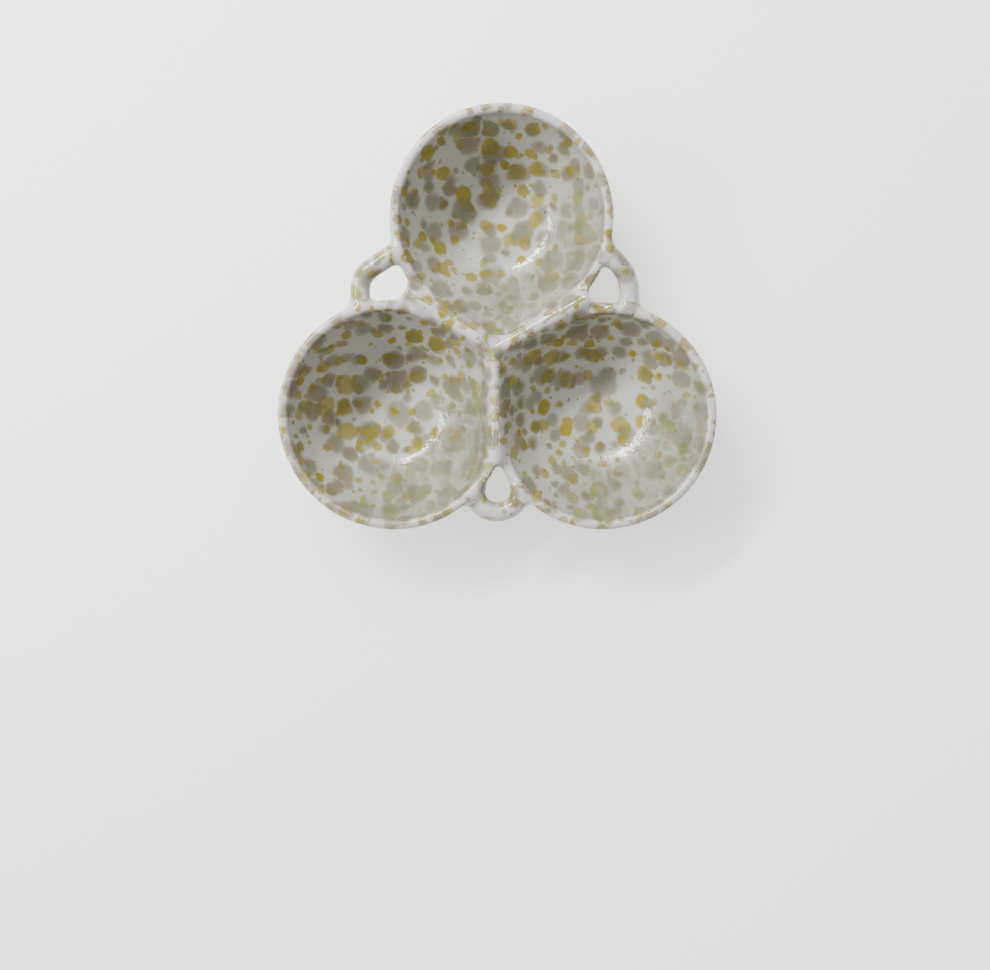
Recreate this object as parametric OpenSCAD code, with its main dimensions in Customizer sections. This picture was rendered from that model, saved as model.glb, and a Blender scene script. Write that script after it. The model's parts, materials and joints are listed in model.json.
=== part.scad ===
// Divided serving bowl: three round stoneware bowls pressed and luted rim to rim, with a small
// strap handle bridging each outer notch. Millimetres, +Z up, the feet on the plane z = 0 and
// the origin under the middle of the whole. The bowls' places follow from their radii and from
// how deep each pair was pressed together, so a change of one bowl moves the others with it.

/* [Left bowl] */
// Radius over the rim of the left bowl
left_radius = 65.7; // [58:0.1:76]
// Height of the left rim above the table
left_height = 57; // [50:0.5:70]
// Radius of the left bowl's flat foot
left_foot = 30; // [24:0.5:38]

/* [Right bowl] */
// Radius over the rim of the right bowl
right_radius = 65.1; // [58:0.1:76]
// Height of the right rim above the table
right_height = 54; // [50:0.5:70]
// Radius of the right bowl's flat foot
right_foot = 34; // [24:0.5:38]

/* [Back bowl] */
// Radius over the rim of the back bowl
back_radius = 63.2; // [58:0.1:76]
// Height of the back rim above the table
back_height = 58.5; // [50:0.5:70]
// Radius of the back bowl's flat foot
back_foot = 33; // [24:0.5:38]

/* [Walls] */
// Thickness of a wall at its rim
wall = 5; // [4:0.1:6]
// Thickness of each wall where the left and right bowls are flattened against each other
pressed_wall = 4; // [3.2:0.1:4.6]
// Thickness of the floors
floor_thickness = 6; // [4.5:0.1:8]
// Flat radius of the floor inside each bowl
well_radius = 23; // [14:0.5:26]
// How far below the rim a wall reaches its full radius
shoulder_drop = 9; // [6:0.5:14]
// How far the rim leans in above the shoulder
rim_lean = 0.8; // [0:0.1:1.5]

/* [Pressed joints] */
// How deep the left and right bowls are pressed together
press_left_right = 11.6; // [9:0.1:14]
// How deep the left and back bowls are pressed together
press_left_back = 2.6; // [1.5:0.1:5]
// How deep the right and back bowls are pressed together
press_right_back = 2.7; // [1.5:0.1:5]
// Turn of the front pair about the vertical, in degrees
pair_turn = -0.5; // [-4:0.5:4]

/* [Luting seams] */
// Width of the clay smoothed over each joint, across both walls
ridge_width = 12; // [10.5:0.5:14]
// Height of the clay above the walls that it sits on
ridge_height = 6; // [4:0.1:8]
// Rise of the front ridge over the lower of its two rims
front_ridge_rise = 2.3; // [-3:0.1:3]
// Rise of the left ridge over the lower of its two rims
left_ridge_rise = -2; // [-3:0.1:3]
// Rise of the right ridge over the lower of its two rims
right_ridge_rise = 0.5; // [-3:0.1:3]
// Rise of the hub over the highest of the three ridges
hub_rise = 0.7; // [0:0.1:2]
// Depth of the clay filled into the grooves below the lowest ridge
web_depth = 8; // [5:0.5:9]
// Length of the front seam from the middle of its joint to the front notch
front_seam_reach = 28; // [24:0.5:32]
// Length of the left seam from the middle of its joint to the left notch
left_seam_reach = 27; // [20:0.5:30]
// Length of the right seam from the middle of its joint to the right notch
right_seam_reach = 24; // [20:0.5:30]
// How far the hub's clay bites into the three walls around it
hub_bite = 1.4; // [0.6:0.1:2]

/* [Handles] */
// Width of a handle's strap, seen from above
strap_width = 10; // [7:0.1:12]
// Height of a handle's strap, seen from the side
strap_height = 12; // [8:0.1:14]
// Share by which a strap swells where it meets the bowls
root_swell_share = 0.28; // [0:0.02:0.5]
// How far the top of the left handle lies under the rims
left_handle_drop = 0.4; // [0:0.1:8]
// How far the top of the right handle lies under the rims
right_handle_drop = 0.8; // [0:0.1:8]
// How far the top of the front handle lies under the left rim
front_left_drop = 4.2; // [0:0.1:8]
// How far the top of the front handle lies under the right rim
front_right_drop = 1.2; // [0:0.1:8]
// Length of the front handle's legs, which sets how far it stands out
front_leg = 17.2; // [14:0.1:24]
// Length of the left handle's leg on the left bowl
left_side_leg = 21; // [16:0.1:26]
// Length of the left handle's leg on the back bowl
left_back_leg = 25; // [18:0.1:28]
// Length of the right handle's leg on the right bowl
right_side_leg = 18.5; // [14:0.1:24]
// Length of the right handle's leg on the back bowl
right_back_leg = 18; // [14:0.1:24]

/* [Hidden] */

glaze = [0.80, 0.79, 0.77];
clay = [0.74, 0.71, 0.65];
bowl_sides = 96;
hub_sides = 64;
curve_steps = 18;
lip_steps = 6;
strap_sides = 20;
strap_rings = 18;
// Powers of the walls' curve: 2 is an ellipse, and 1 a straight cone
outer_power = 1.5;
inner_power = 1.6;
// Share of a coil's height that stands upright at its two edges
coil_edge_share = 0.25;
// Power of the strap's rounded section, and of its swelling towards the two ends
strap_power = 2.6;
swell_power = 6;
// Angles at which the handles' legs are rooted on the bowls, and at which they leave them
left_root_angle = 107;
left_back_root_angle = 196;
left_back_way_angle = 213;
right_root_angle = 76.5;
right_back_root_angle = -17;
right_back_way_angle = -43;
front_left_root_angle = -43;
front_right_root_angle = -138.5;
side_way_angle = 90;
front_way_angle = -90;

lip = wall / 2;
overrun = wall;
// Larger than the whole, for the blocks that cut at the joints
far = 4 * (left_radius + right_radius + back_radius);

// Distances between the bowls' centres, and the centres by triangulation
left_right = left_radius + right_radius - press_left_right;
left_back = left_radius + back_radius - press_left_back;
right_back = right_radius + back_radius - press_right_back;
back_along = (left_right * left_right + left_back * left_back - right_back * right_back)
    / (2 * left_right);
back_across = sqrt(left_back * left_back - back_along * back_along);
function turned(p) = [p.x * cos(pair_turn) - p.y * sin(pair_turn),
    p.x * sin(pair_turn) + p.y * cos(pair_turn)];
left_start = [0, 0];
right_start = turned([left_right, 0]);
back_start = turned([back_along, back_across]);

// The bowls' own sizes, in the order centre before centring, radius, height, foot radius
left_sizes = [left_start, left_radius, left_height, left_foot];
right_sizes = [right_start, right_radius, right_height, right_foot];
back_sizes = [back_start, back_radius, back_height, back_foot];
bowls = [left_sizes, right_sizes, back_sizes];
front_edge = min(left_start.y - left_radius, right_start.y - right_radius);
middle = [(left_start.x - left_radius + right_start.x + right_radius) / 2,
    (front_edge + back_start.y + back_radius) / 2];

function centre(b) = b[0] - middle;
function radius(b) = b[1];
function height(b) = b[2];
function foot(b) = b[3];
function others(b) = [for (other = bowls) if (other != b) other];
function unit(angle) = [cos(angle), sin(angle)];
function bearing(a, b) = let (v = centre(b) - centre(a)) atan2(v.y, v.x);

// Where the joint plane of two bowls crosses the line of their centres, from the first centre
function joint_at(a, b) = let (d = norm(centre(b) - centre(a)))
    (d * d + radius(a) * radius(a) - radius(b) * radius(b)) / (2 * d);
function joint_middle(a, b) = centre(a) + joint_at(a, b) * unit(bearing(a, b));

// The three joint lines meet in one point, the hub, on the front pair's line
hub = let (m = joint_middle(left_sizes, right_sizes), n = joint_middle(left_sizes, back_sizes),
        u = unit(bearing(left_sizes, right_sizes) + 90), v = unit(bearing(left_sizes, back_sizes)))
    m + u * ((n - m) * v) / (u * v);
hub_radius = max([for (b = bowls) norm(hub - centre(b)) - radius(b)]) + hub_bite;

// Profiles, as radius and height: a wall's curve from foot to shoulder, and the round lip
function swelling(r0, r1, z0, z1, power) = [for (i = [0 : curve_steps]) let (t = 90 * i / curve_steps)
    [r0 + (r1 - r0) * pow(sin(t), 2 / power), z0 + (z1 - z0) * (1 - pow(cos(t), 2 / power))]];
function lip_arc(b, from, to) = [for (i = [0 : lip_steps]) let (a = from + (to - from) * i / lip_steps)
    [radius(b) - rim_lean - lip + lip * cos(a), height(b) - lip + lip * sin(a)]];

module outside(b) {
    rotate_extrude($fn = bowl_sides)
        polygon(concat([[0, 0]],
            swelling(foot(b), radius(b), 0, height(b) - shoulder_drop, outer_power),
            lip_arc(b, 0, 90), [[0, height(b)]]));
}

module hollow(b) {
    rotate_extrude($fn = bowl_sides)
        polygon(concat([[0, floor_thickness]],
            swelling(well_radius, radius(b) - wall, floor_thickness, height(b) - shoulder_drop,
                inner_power),
            lip_arc(b, 180, 90),
            [[radius(b) - rim_lean - lip, height(b) + overrun], [0, height(b) + overrun]]));
}

// All space on a bowl's own side of its joint with another bowl, less a margin
module own_side(a, b, margin) {
    translate(centre(a))
        rotate([0, 0, bearing(a, b)])
            translate([joint_at(a, b) - margin - far, -far / 2, -far / 2])
                cube([far, far, far]);
}

// A bowl filled solid: what the seams, the hub and the handles are shaped against
module filled(b) {
    translate(centre(b))
        outside(b);
}

// The room inside a bowl, flattened at its two joints
module room(b) {
    intersection() {
        translate(centre(b))
            hollow(b);
        own_side(b, others(b)[0], pressed_wall);
        own_side(b, others(b)[1], pressed_wall);
    }
}

module shell(b) {
    difference() {
        intersection() {
            filled(b);
            own_side(b, others(b)[0], 0);
            own_side(b, others(b)[1], 0);
        }
        room(b);
        seam_slots();
        hub_slot();
    }
}

// Each seam: its two bowls, its length from the joint's middle, and its rise over the lower rim
front_seam = [left_sizes, right_sizes, front_seam_reach, front_ridge_rise];
left_seam = [left_sizes, back_sizes, left_seam_reach, left_ridge_rise];
right_seam = [right_sizes, back_sizes, right_seam_reach, right_ridge_rise];
seams = [front_seam, left_seam, right_seam];
function seam_middle(s) = joint_middle(s[0], s[1]);
function seam_way(s) = let (v = seam_middle(s) - hub) atan2(v.y, v.x);
function seam_length(s) = norm(seam_middle(s) - hub) + s[2];
function crest(s) = min(height(s[0]), height(s[1])) + s[3];
function seat(s) = crest(s) - ridge_height;
web_floor = min([for (s = seams) seat(s)]) - web_depth;
hub_top = max([for (s = seams) crest(s)]) + hub_rise;

// The place of a seam: x runs from the hub along the joint
module along(s) {
    translate(hub)
        rotate([0, 0, seam_way(s)])
            children();
}

module seam_slot(s) {
    along(s)
        translate([0, -ridge_width / 2, seat(s)])
            cube([seam_length(s), ridge_width, far]);
}

module seam_slots() {
    for (s = seams)
        seam_slot(s);
}

module hub_slot() {
    translate([hub.x, hub.y, web_floor])
        cylinder(r = hub_radius, h = far, $fn = hub_sides);
}

// The coil's section: flat where it sits, and a half ellipse over the walls
coil_edge = coil_edge_share * ridge_height;
coil_section = concat([[ridge_width / 2, 0]],
    [for (i = [0 : curve_steps]) let (a = 180 * i / curve_steps)
        [ridge_width / 2 * cos(a), coil_edge + (ridge_height - coil_edge) * sin(a)]],
    [[-ridge_width / 2, 0]]);

module coil(s) {
    difference() {
        along(s)
            translate([0, 0, seat(s)])
                rotate([90, 0, 90])
                    linear_extrude(seam_length(s))
                        polygon(coil_section);
        room(s[0]);
        room(s[1]);
        hub_slot();
    }
}

// Clay filled into one groove under the coil, from start to end along the joint, on one bowl's
// own side of it: -1 or 1
module web(s, b, side, start, end) {
    difference() {
        along(s)
            translate([start, min(side, 0) * ridge_width / 2, web_floor])
                cube([end - start, ridge_width / 2, seat(s) - web_floor]);
        filled(b);
        hub_slot();
    }
}

module seam(s, side) {
    middle_at = norm(seam_middle(s) - hub);
    coil(s);
    web(s, s[0], side, 0, middle_at);
    web(s, s[1], -side, 0, middle_at);
    web(s, s[0], side, middle_at, seam_length(s));
    web(s, s[1], -side, middle_at, seam_length(s));
}

// A handle's middle line is one curve: out of the first bowl's wall and into the second's
function root(b, angle, top) = let (p = centre(b) + (radius(b) - lip) * unit(angle))
    [p.x, p.y, top - strap_height / 2];
function reached(p, way, length) = [p.x + length * cos(way), p.y + length * sin(way), p.z];
function bend(p, t) = pow(1 - t, 3) * p[0] + 3 * t * pow(1 - t, 2) * p[1]
    + 3 * t * t * (1 - t) * p[2] + t * t * t * p[3];
function bend_way(p, t) = let (v = pow(1 - t, 2) * (p[1] - p[0]) + 2 * t * (1 - t) * (p[2] - p[1])
    + t * t * (p[3] - p[2])) atan2(v.y, v.x);
function rounded(c) = sign(c) * pow(abs(c), 2 / strap_power);

// The ring of points around the middle line at share t of its length
function strap_ring(p, t) = let (c = bend(p, t), way = bend_way(p, t),
        swell = 1 + root_swell_share * pow(abs(2 * t - 1), swell_power))
    [for (i = [0 : strap_sides - 1]) let (a = 360 * i / strap_sides,
            side = swell * strap_width / 2 * rounded(cos(a)))
        [c.x + side * sin(way), c.y - side * cos(way),
            c.z + strap_height / 2 * rounded(sin(a))]];

module strap(p) {
    points = [for (k = [0 : strap_rings]) each strap_ring(p, k / strap_rings)];
    first = [for (i = [0 : strap_sides - 1]) i];
    last = [for (i = [strap_sides - 1 : -1 : 0]) strap_rings * strap_sides + i];
    sides = [for (k = [0 : strap_rings - 1]) for (i = [0 : strap_sides - 1])
        let (j = (i + 1) % strap_sides, low = k * strap_sides, high = low + strap_sides)
        each [[low + i, high + i, high + j], [low + i, high + j, low + j]]];
    polyhedron(points = points, faces = concat([first, last], sides), convexity = 4);
}

module bowl_left() {
    color(glaze) shell(left_sizes);
}

module bowl_right() {
    color(glaze) shell(right_sizes);
}

module bowl_back() {
    color(glaze) shell(back_sizes);
}

module seam_left_right() {
    color(clay) seam(front_seam, -1);
}

module seam_left_back() {
    color(clay) seam(left_seam, 1);
}

module seam_right_back() {
    color(clay) seam(right_seam, -1);
}

// The clay plug where the three bowls meet, with a softly rounded top
module hub_web() {
    color(clay)
        difference() {
            translate([hub.x, hub.y, 0])
                rotate_extrude($fn = hub_sides)
                    polygon(concat([[0, web_floor], [hub_radius, web_floor]],
                        [for (i = [0 : lip_steps]) let (a = 90 * i / lip_steps)
                            [hub_radius - lip + lip * cos(a), hub_top - lip + lip * sin(a)]],
                        [[0, hub_top]]));
            difference() {
                union() {
                    filled(left_sizes);
                    filled(right_sizes);
                    filled(back_sizes);
                }
                hub_slot();
            }
        }
}

module handle_left() {
    start = root(left_sizes, left_root_angle, left_height - left_handle_drop);
    end = root(back_sizes, left_back_root_angle, back_height - left_handle_drop);
    color(glaze)
        difference() {
            strap([start, reached(start, side_way_angle, left_side_leg),
                reached(end, left_back_way_angle, left_back_leg), end]);
            filled(left_sizes);
            filled(back_sizes);
        }
}

module handle_right() {
    start = root(right_sizes, right_root_angle, right_height - right_handle_drop);
    end = root(back_sizes, right_back_root_angle, back_height - right_handle_drop);
    color(glaze)
        difference() {
            strap([start, reached(start, side_way_angle, right_side_leg),
                reached(end, right_back_way_angle, right_back_leg), end]);
            filled(right_sizes);
            filled(back_sizes);
        }
}

module handle_front() {
    start = root(left_sizes, front_left_root_angle, left_height - front_left_drop);
    end = root(right_sizes, front_right_root_angle, right_height - front_right_drop);
    color(glaze)
        difference() {
            strap([start, reached(start, front_way_angle, front_leg),
                reached(end, front_way_angle, front_leg), end]);
            filled(left_sizes);
            filled(right_sizes);
        }
}

bowl_left();
bowl_right();
bowl_back();
seam_left_right();
seam_left_back();
seam_right_back();
hub_web();
handle_left();
handle_right();
handle_front();
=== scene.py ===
# %% [markdown]
# # A divided serving bowl in speckled glaze
# The real dish is three thrown stoneware bowls, pressed rim to rim while the clay was soft, with a pulled
# strap bridging each outer notch. Under one coat of glaze no joint shows: every wall runs into the next in a
# soft curve. So the clay is modelled here as one smooth field of distances, which Geometry Nodes turn into a
# mesh, and the mesh is then parted along the CAD model's nodes. The glaze is one material of many layers.

# %% The frame
import json
import math

import bpy
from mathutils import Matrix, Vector


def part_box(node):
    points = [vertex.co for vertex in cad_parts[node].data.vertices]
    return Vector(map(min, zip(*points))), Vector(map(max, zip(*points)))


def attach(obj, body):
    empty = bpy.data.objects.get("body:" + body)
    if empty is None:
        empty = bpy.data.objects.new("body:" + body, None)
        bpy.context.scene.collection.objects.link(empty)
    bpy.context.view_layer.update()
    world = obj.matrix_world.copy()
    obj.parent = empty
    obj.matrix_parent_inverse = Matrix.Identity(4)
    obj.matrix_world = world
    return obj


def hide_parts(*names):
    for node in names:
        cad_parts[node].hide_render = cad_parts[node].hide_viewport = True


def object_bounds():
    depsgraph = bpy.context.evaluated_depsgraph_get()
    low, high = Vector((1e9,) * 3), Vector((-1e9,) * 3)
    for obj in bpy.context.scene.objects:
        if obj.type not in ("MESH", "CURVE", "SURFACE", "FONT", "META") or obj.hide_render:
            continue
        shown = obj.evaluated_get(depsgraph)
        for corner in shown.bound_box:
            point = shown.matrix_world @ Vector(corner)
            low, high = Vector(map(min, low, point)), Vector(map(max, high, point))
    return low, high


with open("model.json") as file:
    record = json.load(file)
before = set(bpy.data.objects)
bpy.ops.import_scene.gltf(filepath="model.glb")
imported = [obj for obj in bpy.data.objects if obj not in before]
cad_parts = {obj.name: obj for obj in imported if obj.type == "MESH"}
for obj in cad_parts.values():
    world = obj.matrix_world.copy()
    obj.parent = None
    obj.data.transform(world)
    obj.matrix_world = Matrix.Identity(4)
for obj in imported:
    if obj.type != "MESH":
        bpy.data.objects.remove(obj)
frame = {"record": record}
cad_low, cad_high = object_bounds()
MM = 0.001
print("CAD box in mm:", [round(v / MM, 1) for v in (*cad_low, *cad_high)])


# %% [markdown]
# ## The camera
# The photograph looks straight down on the dish, which lies in the upper half of the picture. A camera
# right above it keeps that view into the bowls, and a small tilt alone moves the dish up in the frame, so no
# lens shift is needed.

# %% Camera above the dish
picture_width = 990
picture_height = 970
rim_distance = 800 * MM
pixels_per_mm = 1.771
centre_pixel = (497.8, 320.3)
rim_level = 55 * MM

focal_pixels = pixels_per_mm / MM * rim_distance
camera_data = bpy.data.cameras.new("camera")
camera_data.sensor_width = 36
camera_data.lens = focal_pixels * camera_data.sensor_width / picture_width
camera_data.clip_start = 0.01
camera = bpy.data.objects.new("camera", camera_data)
bpy.context.scene.collection.objects.link(camera)
bpy.context.scene.camera = camera
right = math.atan((centre_pixel[0] - picture_width / 2) / focal_pixels)
up = math.atan((picture_height / 2 - centre_pixel[1]) / focal_pixels)
camera.location = (0, 0, rim_level + rim_distance)
camera.rotation_euler = (-up, right, 0)
print("lens", round(camera_data.lens, 1), "mm, tilted", round(math.degrees(up), 2), "degrees")


# %% [markdown]
# ## A workbench for nodes
# Distances and glazes are both sums of many small steps. `Term` wraps a socket so that Python's own signs
# build the Math nodes, and `Bench.add` is the single way in which any other node is made.

# %% Terms and the bench
class Term:
    """A node's output that takes part in Python arithmetic."""

    def __init__(self, bench, socket):
        self.bench = bench
        self.socket = socket

    def _with(self, operation, a, b):
        vector = any(isinstance(v, Term) and v.socket.type in ("VECTOR", "RGBA") for v in (a, b))
        kind = "ShaderNodeVectorMath" if vector else "ShaderNodeMath"
        return self.bench.add(kind, {"operation": operation}, {0: a, 1: b})

    def __add__(self, other):
        return self._with("ADD", self, other)

    __radd__ = __add__

    def __sub__(self, other):
        return self._with("SUBTRACT", self, other)

    def __rsub__(self, other):
        return self._with("SUBTRACT", other, self)

    def __mul__(self, other):
        return self._with("MULTIPLY", self, other)

    __rmul__ = __mul__

    def __truediv__(self, other):
        return self._with("DIVIDE", self, other)

    def __rtruediv__(self, other):
        return self._with("DIVIDE", other, self)

    def __pow__(self, power):
        return self._with("POWER", self, power)

    def __neg__(self):
        return self * -1


class Bench:
    """One node tree and the method that adds nodes to it."""

    def __init__(self, tree):
        self.tree = tree

    @staticmethod
    def find(sockets, key):
        if isinstance(key, int):
            return sockets[key]
        named = [s for s in sockets if s.identifier == key]
        return (named or [s for s in sockets if s.name == key and s.enabled])[0]

    def add(self, kind, settings=None, inputs=None, out=0):
        node = self.tree.nodes.new(kind)
        for name, value in (settings or {}).items():
            setattr(node, name, value)
        for key, value in (inputs or {}).items():
            socket = self.find(node.inputs, key)
            if isinstance(value, Term):
                self.tree.links.new(value.socket, socket)
            elif value is not None:
                socket.default_value = value
        return Term(self, self.find(node.outputs, out))

    def math(self, operation, *values):
        return self.add("ShaderNodeMath", {"operation": operation}, dict(enumerate(values)))

    def vector_math(self, operation, *values, out=0):
        return self.add("ShaderNodeVectorMath", {"operation": operation}, dict(enumerate(values)), out)

    def low(self, a, b):
        return self.math("MINIMUM", a, b)

    def high(self, a, b):
        return self.math("MAXIMUM", a, b)

    def root(self, a):
        return self.math("SQRT", a)

    def reach(self, a, b):
        return self.root(a * a + b * b)

    def split(self, vector):
        node = self.add("ShaderNodeSeparateXYZ", None, {0: vector}).socket.node
        return [Term(self, s) for s in node.outputs]

    def joined(self, x, y, z):
        return self.add("ShaderNodeCombineXYZ", None, {0: x, 1: y, 2: z})

    def ramp(self, value, start, end, smooth=True):
        """0 before start, 1 after end."""
        kind = "SMOOTHSTEP" if smooth else "LINEAR"
        return self.add("ShaderNodeMapRange", {"interpolation_type": kind},
                        {"Value": value, "From Min": start, "From Max": end})

    def either(self, factor, a, c):
        """Vector a where the factor is 0, and vector c where it is 1."""
        return self.add("ShaderNodeMix", {"data_type": "VECTOR"},
                        {"Factor_Float": factor, "A_Vector": a, "B_Vector": c}, "Result_Vector")

    def noise(self, place, scale, detail, out="Fac"):
        inputs = {"Vector": place, "Scale": scale, "Detail": detail}
        return self.add("ShaderNodeTexNoise", None, inputs, out)


def new_tree(name, inputs, outputs):
    """A node tree with named sockets, and its inputs as terms."""
    tree = bpy.data.node_groups.new(name, "GeometryNodeTree")
    for label, socket in inputs.items():
        tree.interface.new_socket(label, in_out="INPUT", socket_type="NodeSocket" + socket)
    for label, socket in outputs.items():
        tree.interface.new_socket(label, in_out="OUTPUT", socket_type="NodeSocket" + socket)
    bench = Bench(tree)
    entry = tree.nodes.new("NodeGroupInput")
    return bench, {label: Term(bench, entry.outputs[label]) for label in inputs}


def close_tree(bench, results):
    """Leads the results to the tree's outputs."""
    leave = bench.tree.nodes.new("NodeGroupOutput")
    for label, term in results.items():
        bench.tree.links.new(term.socket, leave.inputs[label])


def call(bench, tree, inputs, out=0):
    return bench.add("GeometryNodeGroup", {"node_tree": tree}, inputs, out)


# %% [markdown]
# ## Soft joins and soft edges
# A distance field is negative inside the clay and positive outside. The lower of two distances joins two
# forms, and the higher one cuts. These two versions do the same with a round of radius r in the corner,
# like a thumb run along a joint or a damp sponge along a rim.

# %% Fillets between distances
def thumbed_join(bench, a, b, r):
    inner = bench.reach(bench.high(r - a, 0), bench.high(r - b, 0))
    return bench.high(bench.low(a, b), r) - inner


def sponged_cut(bench, a, b, r):
    outer = bench.reach(bench.high(a + r, 0), bench.high(b + r, 0))
    return bench.low(bench.high(a, b), -r) + outer


# %% [markdown]
# ## One turned wall
# A thrown wall leaves its flat foot in a curve that grows steeper up to the shoulder. A power curve between
# a straight cone (power 1) and an ellipse (power 2) fits it. Dividing by the slope makes it a true distance
# near the surface.

# %% The wall's curve as a distance
tiny = 0.0001
least_wall_slope = 0.004


def turned_wall_tree():
    sizes = ("Across", "Up", "Foot radius", "Full radius", "Foot level", "Shoulder level", "Power")
    b, p = new_tree("Turned wall", {s: "Float" for s in sizes}, {"Distance": "Float"})
    width = p["Full radius"] - p["Foot radius"]
    rise = p["Shoulder level"] - p["Foot level"]
    power = p["Power"]
    out = b.high(p["Across"] - p["Foot radius"], 0) / width
    down = b.high(p["Shoulder level"] - p["Up"], 0) / rise
    total = b.high(out ** power + down ** power, tiny)
    value = total ** (1 / power) - 1
    slope = b.reach(out ** (power - 1) / width, down ** (power - 1) / rise)
    slope = b.high(slope * total ** (1 / power - 1), least_wall_slope)
    close_tree(b, {"Distance": value / slope})
    return b.tree


turned_wall = turned_wall_tree()
print("turned wall:", len(turned_wall.nodes), "nodes")

# %% [markdown]
# ## One bowl
# A bowl is the solid inside its outer wall, and the room inside its inner wall. The rims aren't level, the
# feet aren't quite under the rims, and each wall is flattened where it meets a neighbour. A joint plane is
# given as its outward direction (x, y) and its distance from the bowl's middle (z). The wall along that
# plane slopes inward on its way down.

# %% A bowl as two distances
lip_round = 2.2
ridge_round = 3.8
pressed_round = 6.0
pressed_slope = 0.22
room_rise = 7.0
room_swell = 0.9
corner_push = 8.5
corner_half_width = 21.0
corner_levels = (30.0, 58.0)
shoulder_drop = 9.0
rim_lean = 0.8
outer_power = 1.5
inner_power = 1.6


def bowl_tree():
    inputs = {"Place": "Vector", "Centre": "Vector", "Radius": "Float", "Height": "Float",
              "Foot radius": "Float", "Foot offset": "Vector", "Tilt": "Vector", "Wall": "Float",
              "Floor": "Float", "Well radius": "Float", "Joint 1": "Vector", "Joint 2": "Vector",
              "Hub way": "Vector", "Dip": "Float", "Wobble": "Float"}
    b, p = new_tree("Bowl", inputs, {"Side": "Float", "Room": "Float", "Rim level": "Float"})
    height = p["Height"]
    radius = p["Radius"]
    x, y, z = b.split(p["Place"] - p["Centre"])
    tilt_x, tilt_y, _ = b.split(p["Tilt"])
    rim_level = height + (x * tilt_x + y * tilt_y) / radius - p["Dip"]
    level = z * height / rim_level
    foot_x, foot_y, _ = b.split(p["Foot offset"])
    shoulder = height - shoulder_drop
    below = b.high(1 - level / shoulder, 0)
    lean = rim_lean * b.high(level - shoulder, 0) / shoulder_drop
    across = b.reach(x - foot_x * below, y - foot_y * below) + lean + p["Wobble"]
    side = call(b, turned_wall, {"Across": across, "Up": level, "Foot radius": p["Foot radius"],
                                 "Full radius": radius, "Foot level": 0.0, "Shoulder level": shoulder,
                                 "Power": outer_power})
    hub_x, hub_y, _ = b.split(p["Hub way"])
    aside = (x * hub_y - y * hub_x) / corner_half_width
    ahead = b.ramp(x * hub_x + y * hub_y, 0.0, radius)
    corner = corner_push * b.math("EXPONENT", -(aside * aside)) * ahead * b.ramp(level, *corner_levels)
    room = call(b, turned_wall, {"Across": across - corner, "Up": level, "Foot radius": p["Well radius"],
                                 "Full radius": radius - p["Wall"] + room_swell, "Foot level": p["Floor"],
                                 "Shoulder level": height + room_rise, "Power": inner_power})
    for joint in ("Joint 1", "Joint 2"):
        way_x, way_y, gap = b.split(p[joint])
        plane = x * way_x + y * way_y - gap + (height - z) * pressed_slope
        room = sponged_cut(b, room, plane, pressed_round)
    close_tree(b, {"Side": side, "Room": room, "Rim level": rim_level})
    return b.tree


bowl = bowl_tree()
print("bowl:", len(bowl.nodes), "nodes")


# %% [markdown]
# ## Ridges and straps
# Over each joint the two walls run on as one ridge. Its sides are a plain slab, and its crest dips a little
# on its way from the middle to the notch. The three crests start at one point near the middle of the plug,
# and lean as they do on the photograph. A handle is a strap that follows one Bezier curve seen from above,
# with an oval section. Geometry Proximity gives the distance to that curve.

# %% A ridge: its sides and its crest
crest_fall = 0.12
crest_half_width = (3.0, 13.0)
crest_fade = 12.0
crest_start = 3.0
crest_end = 2.0
ridge_end_round = 3.0
ridge_foot_round = 1.0


def ridge_tree():
    inputs = {"Place": "Vector", "Start": "Vector", "Way": "Vector", "Length": "Float",
              "Half width": "Float", "Start level": "Float", "End level": "Float", "Dip": "Float",
              "Floor level": "Float"}
    b, p = new_tree("Ridge", inputs, {"Side": "Float", "Crest level": "Float", "Nearness": "Float"})
    x, y, _ = b.split(p["Place"] - p["Start"])
    _, _, z = b.split(p["Place"])
    way_x, way_y, _ = b.split(p["Way"])
    along = x * way_x + y * way_y
    across = b.math("ABSOLUTE", y * way_x - x * way_y)
    share = b.ramp(along, 0.0, p["Length"], smooth=False)
    sag = p["Dip"] * 4 * share * (1 - share)
    crest = p["Start level"] + (p["End level"] - p["Start level"]) * share - sag
    near = 1 - b.ramp(across, *crest_half_width)
    near = near * b.ramp(along, -crest_start, crest_start)
    near = near * (1 - b.ramp(along - p["Length"], -crest_end, crest_fade))
    side = sponged_cut(b, across - p["Half width"], b.high(along - p["Length"], -along), ridge_end_round)
    close_tree(b, {"Side": sponged_cut(b, side, p["Floor level"] - z, ridge_foot_round),
                   "Crest level": crest - across * across * crest_fall, "Nearness": near})
    return b.tree


ridge = ridge_tree()


# %% A strap as a distance
strap_power = 2.0
strap_steps = 48
least_strap_slope = 0.02


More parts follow.
